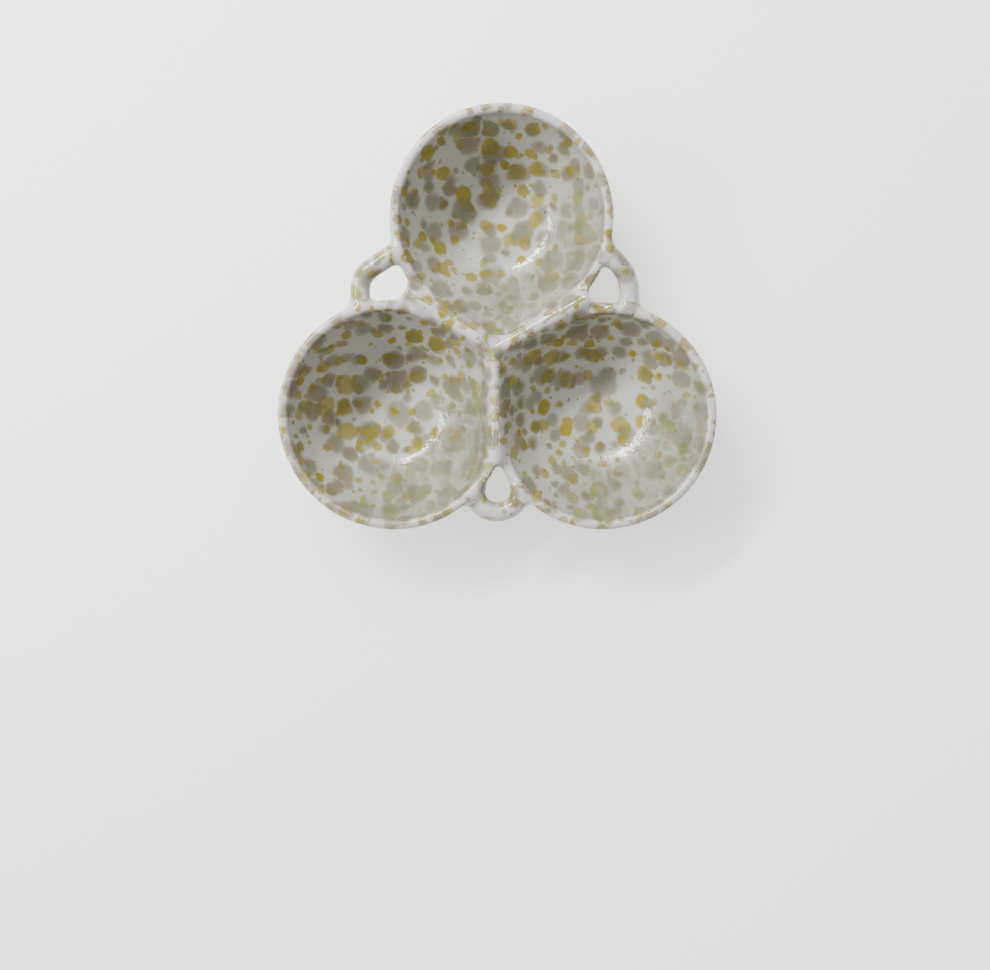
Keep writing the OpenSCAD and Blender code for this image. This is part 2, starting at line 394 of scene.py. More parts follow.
def strap_tree():
    inputs = {"Place": "Vector", "Start": "Vector", "Start leg": "Vector", "End leg": "Vector",
              "End": "Vector", "Width": "Float", "Height": "Float"}
    b, p = new_tree("Strap", inputs, {"Distance": "Float"})
    flat = {name: b.vector_math("MULTIPLY", p[name], (1, 1, 0)) for name in
            ("Place", "Start", "Start leg", "End leg", "End")}
    line = b.add("GeometryNodeCurvePrimitiveBezierSegment", None,
                 {"Resolution": strap_steps, "Start": flat["Start"], "Start Handle": flat["Start leg"],
                  "End Handle": flat["End leg"], "End": flat["End"]})
    wire = b.add("GeometryNodeCurveToMesh", None, {"Curve": line})
    beside = b.add("GeometryNodeProximity", {"target_element": "EDGES"},
                   {"Target": wire, "Source Position": flat["Place"]}, "Distance")
    chord = flat["End"] - flat["Start"]
    onward = b.vector_math("DOT_PRODUCT", flat["Place"] - flat["Start"], chord, out="Value")
    share = onward / b.vector_math("DOT_PRODUCT", chord, chord, out="Value")
    share = b.low(b.high(share, 0), 1)
    levels = [b.split(p[name])[2] for name in ("Place", "Start", "End")]
    above = b.math("ABSOLUTE", levels[0] - levels[1] - (levels[2] - levels[1]) * share)
    half_width = p["Width"] / 2
    half_height = p["Height"] / 2
    out = beside / half_width
    over = above / half_height
    total = b.high(out ** strap_power + over ** strap_power, tiny)
    value = total ** (1 / strap_power) - 1
    slope = b.reach(out ** (strap_power - 1) / half_width, over ** (strap_power - 1) / half_height)
    slope = b.high(slope * total ** (1 / strap_power - 1), least_strap_slope)
    close_tree(b, {"Distance": value / slope})
    return b.tree


strap = strap_tree()
print("ridge:", len(ridge.nodes), "nodes, strap:", len(strap.nodes), "nodes")

# %% [markdown]
# ## The sizes of this dish
# Places and radii come from the frame: each foot's mount marks a bowl's middle, and the nodes' boxes give
# the radii. The rims' tilts, the feet's offsets and the handles' legs were measured on the photograph, in
# millimetres.

# %% Bowls in millimetres
def node_box(node):
    low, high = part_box(node)
    return Vector(low) / MM, Vector(high) / MM


middles = {m["name"].replace("foot_", ""): Vector(m["pos_m"]) / MM for m in frame["record"]["mounts"]}
radii = {"left": middles["left"].x - node_box("bowl_left")[0].x,
         "right": node_box("bowl_right")[1].x - middles["right"].x,
         "back": node_box("bowl_back")[1].y - middles["back"].y}
wall_thickness = 5.0
pressed_wall = 3.6
floor_thickness = 6.0
well_radius = 23.0
wobble_size = 0.7
# Mean rim height, foot radius, offset of the foot, and rise of the rim towards +X and +Y
bowl_facts = {"left": (56.4, 30.0, (-3.5, -2.0, 0), (-1.8, 0.0, 0)),
              "right": (53.6, 34.0, (-2.0, 1.2, 0), (0.4, 0.6, 0)),
              "back": (56.2, 33.0, (0.0, 0.0, 0), (0.0, 2.2, 0))}
print({name: (round(radii[name], 1), [round(v, 1) for v in middles[name][:2]]) for name in middles})


# %% Joints between the bowls
def joint(a, b):
    """The direction from bowl a to bowl b, and how far their joint plane is from a's middle."""
    line = (middles[b] - middles[a]).to_2d()
    distance = line.length
    return line / distance, (distance ** 2 + radii[a] ** 2 - radii[b] ** 2) / (2 * distance)


pairs = {"front": ("left", "right"), "left": ("left", "back"), "right": ("right", "back")}
hub_low, hub_high = node_box("hub_web")
hub = ((hub_low + hub_high) / 2).to_2d()
hub_radius = (hub_high.x - hub_low.x) / 2
seam_reach = {"front": 28.0, "left": 27.0, "right": 24.0}
crest_hub = Vector((-2.2, -17.0))
notch_shift = {"front": -2.0, "left": 0.0, "right": 0.0}
notch_back = 8.0
seams = {}
for name, (a, b) in pairs.items():
    way, at = joint(a, b)
    middle = middles[a].to_2d() + way * at
    onward = middle - hub
    seams[name] = {"way": onward.normalized(), "length": onward.length + seam_reach[name], "middle": middle}
    notch = hub + seams[name]["way"] * (seams[name]["length"] - notch_back)
    notch = notch + Vector((notch_shift[name], 0))
    seams[name]["crest way"] = (notch - crest_hub).normalized()
    seams[name]["crest length"] = (notch - crest_hub).length + notch_back
    print(name, "seam", round(seams[name]["length"], 1), "mm")


def pressed_plane(a, b):
    """The plane between two rooms, as its direction from a to b and its distance from a's middle."""
    crest = next(seams[name]["crest way"] for name, pair in pairs.items() if set(pair) == {a, b})
    across = Vector((-crest.y, crest.x))
    if across.dot((middles[b] - middles[a]).to_2d()) < 0:
        across = -across
    return across, across.dot(crest_hub - middles[a].to_2d())


# %% [markdown]
# ## The whole clay as one field
# The outer bodies, ridges and straps are joined softly, and then the three rooms are cut out of them. A slow
# noise lets the walls and rims waver like hand-made ones.

# %% The clay's field
handle_sizes = {"width": 11.2, "height": 12.0}
# Each handle: bowl, angle of its root and angle and length of its leg, for both ends
handle_facts = {"left": (("left", 107, 90, 21.0), ("back", 197.3, 213, 25.0)),
                "right": (("right", 76.5, 90, 18.5), ("back", -17, -43, 18.0)),
                "front": (("left", -43, -90, 17.2), ("right", -138.5, -90, 17.2))}
handle_tops = {"left": (56.2, 57.8), "right": (52.8, 57.2), "front": (53.0, 53.0)}
ridge_levels = {"front": (56.6, 56.6, 0.3), "left": (56.6, 54.6, 0.8), "right": (56.6, 54.2, 0.6)}
ridge_short = {"front": 3.0, "left": -1.0, "right": 0.5}
web_floor = 42.0
plug_radius = 15.0
plug_floor = 37.0
plug_round = 3.0
thumb_round = 4.5
ridge_half_width = 5.0
wobble_scale = 0.028
wobble_start = 0.3
dip_scale = 0.022
dip_size = 0.8
dip_place = (31.0, 7.0, 0.0)
rim_blend = 1.5


def aimed(angle):
    return Vector((math.cos(math.radians(angle)), math.sin(math.radians(angle))))


def strap_points(name):
    """The four points of a handle's Bezier curve."""
    ends = []
    for (bowl_name, root, way, leg), top in zip(handle_facts[name], handle_tops[name]):
        start = middles[bowl_name].to_2d() + aimed(root) * (radii[bowl_name] - wall_thickness / 2)
        level = top - handle_sizes["height"] / 2
        ends.append(((*start, level), (*(start + aimed(way) * leg), level)))
    (start, start_leg), (end, end_leg) = ends
    return {"Start": start, "Start leg": start_leg, "End leg": end_leg, "End": end}


def clay_tree():
    b, p = new_tree("Clay", {"Place": "Vector"}, {"Clay": "Float", "Body": "Float", "Rim drop": "Float"})
    place = p["Place"]
    wobble = b.high(b.noise(place, wobble_scale, 1.0) - wobble_start, 0) * wobble_size
    dip = b.noise(place + dip_place, dip_scale, 1.0) * dip_size
    rooms = []
    sides = None
    nearest = None
    rim_level = None
    ridge_near = None
    for name, (height, foot, offset, tilt) in bowl_facts.items():
        inputs = {"Place": place, "Centre": (*middles[name].to_2d(), 0), "Radius": radii[name],
                  "Height": height, "Foot radius": foot, "Foot offset": offset, "Tilt": tilt,
                  "Wall": wall_thickness, "Floor": floor_thickness, "Well radius": well_radius,
                  "Dip": dip, "Wobble": wobble}
        others = [n for n in bowl_facts if n != name]
        for k, other in enumerate(others):
            way, at = pressed_plane(name, other)
            inputs[f"Joint {k + 1}"] = (*way, at - pressed_wall)
        inputs["Hub way"] = (*(crest_hub - middles[name].to_2d()).normalized(), 0)
        side = call(b, bowl, inputs, "Side")
        rooms.append(Term(b, side.socket.node.outputs["Room"]))
        own_level = Term(b, side.socket.node.outputs["Rim level"])
        if sides is None:
            sides = side
            nearest = side
            rim_level = own_level
        else:
            closer = b.ramp(nearest - side, -rim_blend, rim_blend)
            rim_level = rim_level + (own_level - rim_level) * closer
            nearest = b.low(nearest, side)
            sides = thumbed_join(b, sides, side, thumb_round)
    for name, seam in seams.items():
        start, end, sag = ridge_levels[name]
        side = call(b, ridge, {"Place": place, "Start": (*crest_hub, 0), "Way": (*seam["crest way"], 0),
                               "Length": seam["crest length"] - ridge_short[name],
                               "Half width": ridge_half_width,
                               "Start level": start, "End level": end, "Dip": sag,
                               "Floor level": web_floor}, "Side")
        crest, near = (Term(b, side.socket.node.outputs[k]) for k in ("Crest level", "Nearness"))
        rim_level = rim_level + (crest - rim_level) * near
        ridge_near = near if ridge_near is None else b.high(ridge_near, near)
        sides = thumbed_join(b, sides, side, thumb_round)
    from_hub = place - (*hub, 0)
    from_hub = b.vector_math("LENGTH", b.vector_math("MULTIPLY", from_hub, (1, 1, 0)), out="Value")
    height = b.split(place)[2]
    plug = sponged_cut(b, from_hub - plug_radius, plug_floor - height, plug_round)
    sides = thumbed_join(b, sides, plug, thumb_round)
    body = sponged_cut(b, sides, height - rim_level, lip_round)
    for name in handle_facts:
        body = thumbed_join(b, body, call(b, strap, {"Place": place, "Width": handle_sizes["width"],
                                                     "Height": handle_sizes["height"],
                                                     **strap_points(name)}), thumb_round)
    clay = body
    for room in rooms:
        clay = sponged_cut(b, clay, -room, lip_round + (ridge_round - lip_round) * ridge_near)
    close_tree(b, {"Clay": clay, "Body": body, "Rim drop": rim_level - height})
    return b.tree


clay = clay_tree()
print("clay:", len(clay.nodes), "nodes")


# %% [markdown]
# ## From field to mesh
# A Volume Cube samples the field on a fine grid, and Volume to Mesh wraps it. Each point then slides along
# the field's slope onto the true surface, twice, which takes away the grid's small steps.

# %% The tree that makes the mesh
probe_step = 0.3
least_steepness = 0.05
largest_move = 0.6


def slope_of(b, place, step):
    """The field at a place, its gradient and its second derivative, by steps to both sides."""
    centre = call(b, clay, {"Place": place}, "Clay")
    sides = []
    bend = None
    for axis in range(3):
        shift = tuple(step if k == axis else 0.0 for k in range(3))
        ahead = call(b, clay, {"Place": place + shift}, "Clay")
        behind = call(b, clay, {"Place": place - shift}, "Clay")
        sides.append((ahead - behind) / (2 * step))
        part = (ahead + behind - centre * 2) / (step * step)
        bend = part if bend is None else bend + part
    return centre, b.joined(*sides), bend


def wrapped_clay_tree():
    b, p = new_tree("Wrapped clay", {"Low corner": "Vector", "High corner": "Vector", "Cells": "Vector",
                                     "Material": "Material"}, {"Geometry": "Geometry"})
    cells = b.split(p["Cells"])
    place = b.add("GeometryNodeInputPosition") / (MM, MM, MM)
    field = call(b, clay, {"Place": place}, "Clay")
    volume = b.add("GeometryNodeVolumeCube", None,
                   {"Density": -field, "Background": -1.0, "Min": p["Low corner"], "Max": p["High corner"],
                    "Resolution X": cells[0], "Resolution Y": cells[1], "Resolution Z": cells[2]})
    mesh = b.add("GeometryNodeVolumeToMesh", None, {"Volume": volume, "Threshold": 0.0, "Adaptivity": 0.0})
    for _ in range(2):
        place = b.add("GeometryNodeInputPosition") / (MM, MM, MM)
        value, slope, _ = slope_of(b, place, probe_step)
        steep = b.high(b.vector_math("DOT_PRODUCT", slope, slope, out="Value"), least_steepness)
        shift = b.low(b.high(value / steep, -largest_move), largest_move) * -MM
        move = b.vector_math("SCALE", slope, None, None, shift)
        mesh = b.add("GeometryNodeSetPosition", None, {"Geometry": mesh, "Offset": move})
    mesh = b.add("GeometryNodeRealizeInstances", None, {"Geometry": mesh})
    mesh = b.add("GeometryNodeSetMaterial", None, {"Geometry": mesh, "Material": p["Material"]})
    close_tree(b, {"Geometry": mesh})
    return b.tree


wrapped_clay = wrapped_clay_tree()


# %% Running a tree on an object
def made_plain(obj, tree, inputs):
    """Runs a Geometry Nodes tree on an object and keeps the result as a plain mesh."""
    modifier = obj.modifiers.new("shape", "NODES")
    modifier.node_group = tree
    for item in tree.interface.items_tree:
        if item.item_type == "SOCKET" and item.in_out == "INPUT" and item.name in inputs:
            modifier[item.identifier] = inputs[item.name]
    bpy.context.view_layer.update()
    evaluated = obj.evaluated_get(bpy.context.evaluated_depsgraph_get())
    mesh = bpy.data.meshes.new_from_object(evaluated)
    obj.modifiers.clear()
    obj.data = mesh
    return obj


def new_object(name, data=None):
    obj = bpy.data.objects.new(name, data or bpy.data.meshes.new(name))
    bpy.context.scene.collection.objects.link(obj)
    return obj


cell = 1.0
margin = 2.0
low_corner = Vector(cad_low) / MM - Vector((margin,) * 3)
high_corner = Vector(cad_high) / MM + Vector((margin,) * 3)
cells = [math.ceil(v / cell) for v in high_corner - low_corner]
whole = made_plain(new_object("whole"), wrapped_clay,
                   {"Low corner": low_corner * MM, "High corner": high_corner * MM, "Cells": cells})
print("whole:", len(whole.data.vertices), "points,", len(whole.data.polygons), "faces")
print("cells:", cells)


# %% [markdown]
# ## Parting the clay into its pieces
# The dish is one body in the kiln, but it was built from ten pieces, and each CAD node needs its own piece.
# Each is the whole clay inside a region: the seams are slabs and the hub is a round plug from the ridges
# down, the handles are what lies outside the walls in each notch, and the bowls are the rest.

# %% Regions
def prism(name, outline, low, high):
    """A closed upright solid over an outline given anticlockwise in mm."""
    n = len(outline)
    points = [Vector((x, y, z)) * MM for z in (low, high) for x, y in outline]
    faces = [list(range(n))[::-1], list(range(n, 2 * n))]
    faces += [(k, (k + 1) % n, n + (k + 1) % n, n + k) for k in range(n)]
    mesh = bpy.data.meshes.new(name)
    mesh.from_pydata(points, [], faces)
    return new_object(name, mesh)


def combined(base, tool, operation):
    """Base after a boolean with the tool."""
    modifier = base.modifiers.new("cut", "BOOLEAN")
    modifier.object = tool
    modifier.operation = operation
    modifier.solver = "MANIFOLD"
    evaluated = base.evaluated_get(bpy.context.evaluated_depsgraph_get())
    mesh = bpy.data.meshes.new_from_object(evaluated)
    base.modifiers.clear()
    base.data = mesh
    return base


def copied(obj, name):
    return new_object(name, obj.data.copy())


def removed(*objects):
    for obj in objects:
        bpy.data.objects.remove(obj)


def slab(name, start, way, length, half_width, low, high):
    side = Vector((-way.y, way.x)) * half_width
    end = start + way * length
    return prism(name, [start - side, end - side, end + side, start + side], low, high)


sky = 70.0
seam_half_width = 5.6
seam_floor = {"front": 49.9, "left": 48.6, "right": 48.1}
groove_floor = 41.0
seam_end_gap = 1.0
hub_sides = 48
hub_outline = [hub + aimed(360 * k / hub_sides) * hub_radius for k in range(hub_sides)]
hub_region = prism("hub region", hub_outline, groove_floor, sky)
seam_regions = {}
for name, seam in seams.items():
    region = slab("seam " + name, hub, seam["way"], seam["length"] - seam_end_gap, seam_half_width,
                  seam_floor[name], sky)
    outer = (seam["middle"] - hub).length
    wedge = slab("groove " + name, hub + seam["way"] * outer, seam["way"],
                 seam_reach[name] - seam_end_gap, seam_half_width, groove_floor, sky)
    seam_regions[name] = combined(region, wedge, "UNION")
    removed(wedge)
print("regions:", [len(r.data.polygons) for r in seam_regions.values()])


# %% The regions of the handles
wall_skin = 0.6
cylinder_sides = 128
cylinder_low = -5.0
handle_start = 5.0
notch_length = 80.0
notch_half_width = 60.0
notch_low = 20.0


def bowl_cylinder(name, extra):
    radius = radii[name] + extra
    angles = [360 * k / cylinder_sides for k in range(cylinder_sides)]
    points = [middles[name].to_2d() + aimed(angle) * radius for angle in angles]
    return prism("cylinder " + name, points, cylinder_low, sky)


def handle_region(name, pair):
    """A box over one outer notch, without the walls of its two bowls."""
    seam = seams[name]
    start = hub + seam["way"] * (seam["length"] + handle_start)
    region = slab("notch " + name, start, seam["way"], notch_length, notch_half_width, notch_low, sky)
    for bowl_name in pair:
        tool = bowl_cylinder(bowl_name, wall_skin)
        combined(region, tool, "DIFFERENCE")
        removed(tool)
    return region


handle_regions = {name: handle_region(name, pair) for name, pair in pairs.items()}
print("handle regions:", [len(r.data.polygons) for r in handle_regions.values()])


# %% The pieces
far = 300.0
bowl_low = -10.0


def handle_piece(name):
    """The strap's clay in its notch, without what belongs to the seam."""
    piece = combined(copied(whole, "handle_" + name), handle_regions[name], "INTERSECT")
    return combined(piece, seam_regions[name], "DIFFERENCE")


def parted():
    pieces = {}
    seam_nodes = {"front": "seam_left_right", "left": "seam_left_back", "right": "seam_right_back"}
    pieces["hub_web"] = combined(copied(whole, "hub_web"), hub_region, "INTERSECT")
    for name, node in seam_nodes.items():
        pieces[node] = combined(copied(whole, node), seam_regions[name], "INTERSECT")
        combined(pieces[node], hub_region, "DIFFERENCE")
        pieces["handle_" + name] = handle_piece(name)
    rest = copied(whole, "rest")
    for tool in (hub_region, *seam_regions.values(), *handle_regions.values()):
        combined(rest, tool, "DIFFERENCE")
    for name in bowl_facts:
        node = "bowl_" + name
        pieces[node] = copied(rest, node)
        for other in bowl_facts:
            if other != name:
                way, at = pressed_plane(name, other)
                start = middles[name].to_2d() + way * at
                half = slab("half", start, way, far, far, bowl_low, sky)
                combined(pieces[node], half, "DIFFERENCE")
                removed(half)
    removed(rest)
    return pieces


pieces = parted()
for node, piece in pieces.items():
    print(node, len(piece.data.polygons), "faces")


# %% [markdown]
# ## Facts for the glaze
# Glaze runs off edges and gathers in corners, so the material needs to know where it is. Each point stores
# how deep it lies inside the bodies, how far below its rim, and how sharply the surface bends. The shading
# normals come from the field too, so that no seam shows where two pieces meet.

# %% The tree that stores the facts
shading_step = 0.5
cut_depth = -0.15


def facts_tree():
    b, p = new_tree("Glaze facts", {"Geometry": "Geometry", "Material": "Material"},
                    {"Geometry": "Geometry"})
    place = b.add("GeometryNodeInputPosition") / (MM, MM, MM)
    value, slope, bend = slope_of(b, place, shading_step)
    smooth = b.add("GeometryNodeFieldOnDomain", {"domain": "POINT", "data_type": "FLOAT_VECTOR"},
                   {0: b.vector_math("NORMALIZE", slope)})
    on_face = b.add("GeometryNodeFieldOnDomain", {"domain": "FACE", "data_type": "FLOAT"}, {0: value})
    flat = b.add("GeometryNodeFieldOnDomain", {"domain": "FACE", "data_type": "FLOAT_VECTOR"},
                 {0: b.add("GeometryNodeInputNormal")})
    normal = b.either(b.math("LESS_THAN", on_face, cut_depth), smooth, flat)
    cut_share = b.add("GeometryNodeFieldOnDomain", {"domain": "FACE", "data_type": "FLOAT"},
                      {0: b.math("LESS_THAN", value, cut_depth)})
    # Where a cut face meets a smooth one, the share is one half
    cut_edge = b.math("COMPARE", cut_share, 0.5, 0.3)
    facts = {"depth": -call(b, clay, {"Place": place}, "Body"),
             "rim_drop": call(b, clay, {"Place": place}, "Rim drop"), "bend": bend}
    mesh = p["Geometry"]
    for name, fact in facts.items():
        mesh = b.add("GeometryNodeStoreNamedAttribute", {"data_type": "FLOAT", "domain": "POINT"},
                     {"Geometry": mesh, "Name": name, "Value": fact})
    mesh = b.add("GeometryNodeSetShadeSmooth", None, {"Geometry": mesh, "Shade Smooth": True})
    mesh = b.add("GeometryNodeSetShadeSmooth", {"domain": "EDGE"},
                 {"Geometry": mesh, "Selection": cut_edge, "Shade Smooth": False})
    mesh = b.add("GeometryNodeSetMeshNormal", {"mode": "FREE", "domain": "CORNER"},
                 {"Mesh": mesh, "Custom Normal": normal})
    mesh = b.add("GeometryNodeRealizeInstances", None, {"Geometry": mesh})
    mesh = b.add("GeometryNodeSetMaterial", None, {"Geometry": mesh, "Material": p["Material"]})
    close_tree(b, {"Geometry": mesh})
    return b.tree


facts = facts_tree()


# %% [markdown]
# ## The speckled glaze
# The potter brushes a milky base glaze over the dish and spatters it with two others, a taupe and a mustard
# one. Each drop melts into a soft round spot, and on a wall it runs down. A Voronoi texture gives the drops:
# the distance to the nearest point makes the round, and the point's own random colour its size. Before that
# each bowl is laid flat around its own middle. Only a part of a wall's height counts there, so that every
# spot comes out longer on a steep wall.

# %% The glazes' colours
# The two greys of the painted veil, painted sheen and painted shade on the walls that face the light
painted_veil_pale = (0.20, 0.205, 0.155)
painted_veil_deep = (0.12, 0.115, 0.065)
base_rim = (0.47, 0.465, 0.455)
base_inside = (0.44, 0.44, 0.395)
base_outside = (0.22, 0.197, 0.122)
base_outside_dark = (0.18, 0.16, 0.097)
taupe_pale = (0.235, 0.20, 0.13)
taupe_deep = (0.15, 0.125, 0.075)
mustard_bright = (0.33, 0.265, 0.0)
mustard_deep = (0.20, 0.145, 0.0)
olive = (0.16, 0.135, 0.006)
teal = (0.10, 0.145, 0.17)
cream = (0.60, 0.47, 0.33)
rust = (0.19, 0.11, 0.045)
pin_dark = (0.04, 0.02, 0.02)
print("base glaze inside:", base_inside, "and outside:", base_outside)

# %% Sizes of the spots and of what the glaze does
# Cell, smallest and largest radius in mm, share of the cells, softness in mm, seed
taupe_spots = ((18.0, 4.2, 8.8, 0.82, 1.9, 1), (14.0, 2.6, 6.2, 0.7, 1.5, 2), (9.0, 0.9, 2.6, 0.35, 0.7, 3))
mustard_spots = ((15.0, 2.4, 6.6, 0.66, 1.2, 4), (11.0, 1.2, 4.2, 0.6, 0.8, 5))
speck_spots = (6.0, 0.3, 1.1, 0.3, 0.25, 6)
dot_spots = (22.0, 0.35, 0.6, 0.3, 0.12, 9)
spot_scatter = 0.7
spot_size_power = 1.6
seed_step = (171.3, 59.1)
# Laying flat
very_far = 1000.0
floor_level = 8.0
wall_share = 0.38
strap_gap = 1.8
strap_height_share = 0.6
bowls_apart = (3, 3, 3)
# Where the glaze changes, as a start and an end in mm, or as bends
inside_depths = (0.6, 2.6)
outside_drops = (1.5, 8.0)
pool_drops = (2.0, 16.0)
drip_drops = (15.0, 4.0)
drip_spread = 26
edge_bends = (0.28, 0.5)
# The painted veil: a grey-green wash on the walls that face the light, painted sheen and painted shade
light_side = (0.68, -0.73, 0)
painted_veil_reach = (28.0, 42.0)
streak_count = 9
streak_spread = 8
painted_veil_cover = 0.88
# Scales of the noises, per mm
waver_scale = 0.12
waver_reach = (5, 5, 0)
grain_scale = 1.3
fine_scale = 2.2
drip_scale = 0.07
cloud_scale = 0.02
gold_scale = 0.16
meeting_scale = 0.45
veil_scale = 0.06
thin_scale = 0.16
rust_scale = 0.32
wave_scale = 0.10
pit_scale = 0.8
# How much of what lies below each layer hides
taupe_cover = 0.95
mustard_cover = 0.97
olive_cover = 0.6
teal_cover = 0.7
cream_cover = 0.5
rust_cover = 0.8
edge_bare = 0.4
# Roughness, and relief in mm
gloss = 0.09
outside_rough = 0.3
veil_zone_rough = 0.12
spot_rough = 0.05
wave_height = 0.8
pit_height = 0.05
veil_zone_pit_height = 0.04
spot_height = 0.05
print("layers of spots:", len(taupe_spots) + len(mustard_spots) + len((speck_spots, dot_spots)))


# %% Spots of one size
def mixed(b, factor, a, c):
    colours = [v if isinstance(v, Term) else (*v, 1) for v in (a, c)]
    return b.add("ShaderNodeMix", {"data_type": "RGBA"},
                 {"Factor_Float": factor, "A_Color": colours[0], "B_Color": colours[1]}, "Result_Color")


def laid_flat(b, place):
    """Each bowl's clay laid flat around its own middle: a wall's height adds to the reach."""
    best_gap = very_far
    best_way = (0, 0, 0)
    best_middle = (0, 0, 0)
    for name, middle in middles.items():
        way = (place - (middle.x, middle.y, 0)) * (1, 1, 0)
        gap = b.vector_math("LENGTH", way, out="Value") - radii[name]
        nearer = b.math("LESS_THAN", gap, best_gap)
        best_way = b.either(nearer, best_way, way)
        best_middle = b.either(nearer, best_middle, (middle.x, middle.y, 0))
        best_gap = b.low(gap, best_gap)
    reach = b.high(b.vector_math("LENGTH", best_way, out="Value"), 1.0)
    rise = b.high(b.split(place)[2] - floor_level, 0.0) * wall_share
    growth = 1 + rise / reach
    laid = best_middle * bowls_apart + best_way * b.joined(growth, growth, 1.0)
    x, y, z = b.split(place)
    on_strap = b.math("GREATER_THAN", best_gap, strap_gap)
    return b.either(on_strap, laid, b.joined(x, y + z * strap_height_share, 0.0)), best_way, reach


def spots(b, flat, cell, smallest, largest, share, soft, seed):
    """Soft round spots: 1 inside. Sizes in mm, share of the cells that hold one."""
    start = (seed * seed_step[0], seed * seed_step[1], 0)
    shifted = {"Vector": flat + start, "Scale": 1 / cell, "Randomness": spot_scatter}
    nearest = b.add("ShaderNodeTexVoronoi", {"voronoi_dimensions": "2D"}, shifted, "Distance")
    away = nearest * cell
    border = b.add("ShaderNodeTexVoronoi", {"voronoi_dimensions": "2D", "feature": "DISTANCE_TO_EDGE"},
                   shifted, "Distance") * cell
    chance = b.split(Term(b, nearest.socket.node.outputs["Color"]))
    radius = smallest + (largest - smallest) * chance[0] ** spot_size_power
    inside = (1 - b.ramp(away - radius, -soft, soft)) * (0.6 + 0.4 * b.ramp(border, 0.0, soft * 0.8))
    return inside * b.math("LESS_THAN", chance[1], share) * (0.75 + 0.25 * chance[2]), away / radius


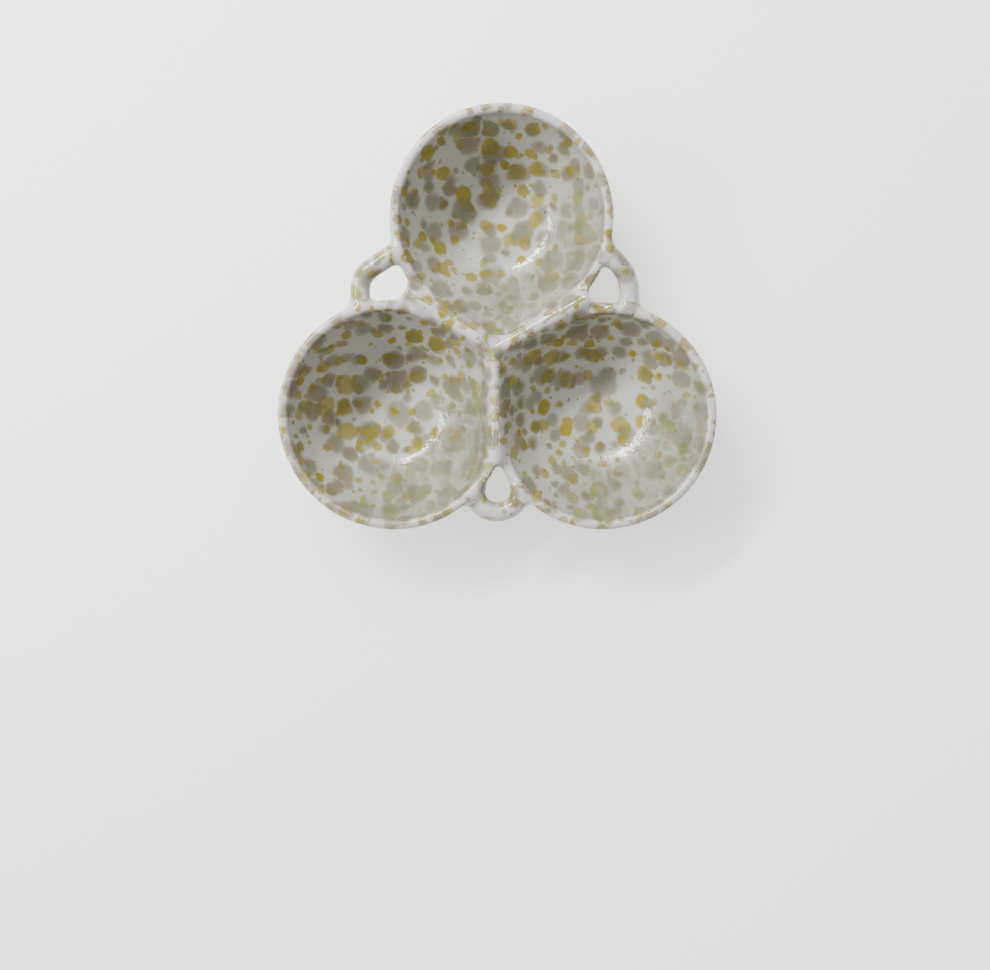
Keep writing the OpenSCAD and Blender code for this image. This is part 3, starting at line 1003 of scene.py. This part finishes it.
def glaze_material():
    material = bpy.data.materials.new("speckled glaze")
    material.use_nodes = True
    b = Bench(material.node_tree)
    shader = material.node_tree.nodes["Principled BSDF"]
    place = b.add("ShaderNodeTexCoord", None, None, "Object") * (1 / MM, 1 / MM, 1 / MM)
    fact = {name: b.add("ShaderNodeAttribute", {"attribute_name": name}, None, "Fac")
            for name in ("depth", "rim_drop", "bend")}
    inside = b.ramp(fact["depth"], *inside_depths)
    outside = (1 - inside) * b.ramp(fact["rim_drop"], *outside_drops)
    flat, way, reach = laid_flat(b, place)
    waver = b.noise(place, waver_scale, 1.0, "Color") - (0.5, 0.5, 0.5)
    drops = flat + waver * waver_reach
    grain = b.noise(place, grain_scale, 3.0)
    fine = b.noise(place, fine_scale, 2.0)
    sharp = b.ramp(fact["bend"], *edge_bends)

    # How thickly an area was spattered
    drip = fact["rim_drop"] + b.noise(place, drip_scale, 1.0) * drip_spread - drip_spread / 2
    cover = inside + (1 - inside) * b.ramp(drip, *drip_drops)
    cover = cover * (1 - edge_bare * sharp)
    taupe, heart = spots(b, drops, *taupe_spots[0])
    middle_taupe, second_heart = spots(b, drops, *taupe_spots[1])
    small_taupe, _ = spots(b, drops, *taupe_spots[2])
    mustard, _ = spots(b, drops, *mustard_spots[0])
    small_mustard, _ = spots(b, drops, *mustard_spots[1])
    specks, _ = spots(b, flat, *speck_spots)
    taupe = b.high(b.high(taupe, middle_taupe), small_taupe) * cover
    mustard = b.high(b.high(mustard, small_mustard), specks) * cover

    # Painted sheen and shade on the light side of the bowls: a grey-green veil with radial streaks stands in
    # for the cloudy sheen the light leaves there, and darkens those strongly lit walls
    light_facing = b.vector_math("DOT_PRODUCT", way, light_side, out="Value") / reach
    turn = b.math("ARCTAN2", b.split(way)[1], b.split(way)[0])
    streak = b.noise(b.joined(turn * streak_count, reach * 0.05, 0.0), 1.0, 3.0)
    # Where the painted veil lies: the walls facing the light, in radial streaks of painted reflection
    painted_veil_share = b.ramp(light_facing, 0.0, 0.8) * b.ramp(reach + streak * streak_spread, *painted_veil_reach) * inside
    painted_veil_share = painted_veil_share * (0.55 + 0.45 * b.ramp(streak, 0.3, 0.7))

    cloud = b.ramp(b.noise(place, cloud_scale, 1.0), 0.35, 0.65)
    pooled = mixed(b, b.ramp(fact["rim_drop"], *pool_drops) * inside, base_rim, base_inside)
    base = mixed(b, outside, pooled, mixed(b, cloud, base_outside, base_outside_dark))
    deepness = b.ramp(b.low(heart, second_heart), 0.95, 0.2) * 0.5 + grain * 0.7
    colour = mixed(b, taupe * taupe_cover, base, mixed(b, deepness, taupe_pale, taupe_deep))
    gold = mixed(b, b.noise(drops, gold_scale, 2.0) * 0.5 + grain * 0.5, mustard_deep, mustard_bright)
    gold = mixed(b, taupe * olive_cover, gold, olive)
    colour = mixed(b, mustard * mustard_cover, colour, gold)
    flecks = b.noise(place, meeting_scale, 4.0)
    meeting = b.ramp(taupe * mustard, 0.15, 0.6) * b.ramp(flecks, 0.50, 0.62)
    colour = mixed(b, meeting * teal_cover, colour, teal)
    # The painted veil's colour, a paler and a deeper grey-green of painted shade
    painted_veil_depth = b.noise(place, veil_scale, 2.0) + streak * 0.5
    painted_veil_colour = mixed(b, b.ramp(painted_veil_depth, 0.6, 0.9), painted_veil_deep, painted_veil_pale)
    colour = mixed(b, painted_veil_share * painted_veil_cover, colour, painted_veil_colour)
    colour = colour * b.joined(*(0.90 + fine * 0.2,) * 3)

    # The edge of the rim, where the glaze runs thin and the clay shows through
    thin = sharp * b.ramp(b.noise(place, thin_scale, 2.0), 0.42, 0.62)
    colour = mixed(b, thin * cream_cover, colour, cream)
    rusting = b.ramp(b.noise(place, rust_scale, 2.0), 0.46, 0.54)
    rust_spot = sharp * b.ramp(taupe + mustard, 0.1, 0.4) * rusting
    colour = mixed(b, rust_spot * rust_cover, colour, rust)
    dots, _ = spots(b, flat, *dot_spots)
    colour = mixed(b, dots, colour, pin_dark)

    material.node_tree.links.new(colour.socket, shader.inputs["Base Color"])
    rough = gloss + outside * outside_rough + painted_veil_share * veil_zone_rough
    material.node_tree.links.new((rough + taupe * spot_rough).socket, shader.inputs["Roughness"])
    waves = b.noise(place, wave_scale, 3.0) * wave_height
    relief = waves + b.noise(place, pit_scale, 3.0) * (pit_height + painted_veil_share * veil_zone_pit_height)
    relief = relief + (taupe + mustard) * spot_height
    bump = b.add("ShaderNodeBump", None, {"Strength": 1.0, "Distance": MM, "Height": relief})
    material.node_tree.links.new(bump.socket, shader.inputs["Normal"])
    shader.inputs["IOR"].default_value = 1.5
    return material


glaze = glaze_material()
print("glaze:", len(glaze.node_tree.nodes), "nodes")

# %% The facts on every piece
for node, piece in pieces.items():
    made_plain(piece, facts, {"Material": glaze})
removed(whole, hub_region, *seam_regions.values(), *handle_regions.values())
print("facts stored on", len(pieces), "pieces")


# %% [markdown]
# ## Each piece takes its node's place
# Every piece rides the one body and takes the place of its CAD node, which is hidden.

# %% Riding and hiding the CAD nodes
slots = {"bowl": "bowl_glaze", "seam": "seam_glaze", "hub": "seam_glaze", "handle": "handle_glaze"}
for node, piece in pieces.items():
    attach(piece, "root")
    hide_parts(node)
    slots[node.split("_")[0]]
print("slots:", sorted(set(slots.values())))


# %% [markdown]
# ## Floor and light
# A studio photograph on white. A narrow window high at the back and left draws the bright crescents in the
# bowls, a second one at the left adds short glints, and a broad pale wall at the back softens both. An even
# white surrounding fills the shadows, and the floor glows a little so that it stays pale.

# %% The floor
floor_half = 4
floor_tone = (0.8, 0.8, 0.8)
floor_roughness = 0.7
floor_glow = 1.0


def plain_material(name, colour, roughness, glow):
    material = bpy.data.materials.new(name)
    material.use_nodes = True
    shader = material.node_tree.nodes["Principled BSDF"]
    shader.inputs["Emission Color"].default_value = (1, 1, 1, 1)
    shader.inputs["Emission Strength"].default_value = glow
    shader.inputs["Base Color"].default_value = (*colour, 1)
    shader.inputs["Roughness"].default_value = roughness
    return material


floor_mesh = bpy.data.meshes.new("floor")
corners = [(x * floor_half, y * floor_half, 0) for x, y in ((-1, -1), (1, -1), (1, 1), (-1, 1))]
floor_mesh.from_pydata(corners, [], [(0, 1, 2, 3)])
floor = new_object("floor", floor_mesh)
floor_mesh.materials.append(plain_material("pale floor", floor_tone, floor_roughness, floor_glow))
print("floor:", 2 * floor_half, "m wide")


# %% Sky and softboxes
sky_strength = 0.62
sky_light = bpy.data.worlds.new("studio")
bpy.context.scene.world = sky_light
sky_light.use_nodes = True
background = sky_light.node_tree.nodes["Background"]
background.inputs["Color"].default_value = (1, 1, 1, 1)
background.inputs["Strength"].default_value = sky_strength


def softbox(name, azimuth, elevation, distance, width, height, power):
    """A rectangular light that faces the dish from the given angles."""
    light_data = bpy.data.lights.new(name, "AREA")
    light_data.shape = "RECTANGLE"
    light_data.energy = power
    light_data.size = width
    light_data.size_y = height
    light = new_object(name, light_data)
    level = math.cos(math.radians(elevation)) * distance
    light.location = (*(aimed(azimuth) * level), math.sin(math.radians(elevation)) * distance)
    light.rotation_euler = (-light.location).to_track_quat("-Z", "Y").to_euler()


# Azimuth and elevation in degrees, then distance, width and height in metres, and watts
softbox("window", 128, 45, 1.4, 0.8, 0.16, 32)
softbox("left window", 178, 38, 1.4, 0.5, 0.14, 10)
softbox("pale wall", 100, 52, 1.6, 2.2, 1.0, 18)
print("lights:", [light.name for light in bpy.data.lights])
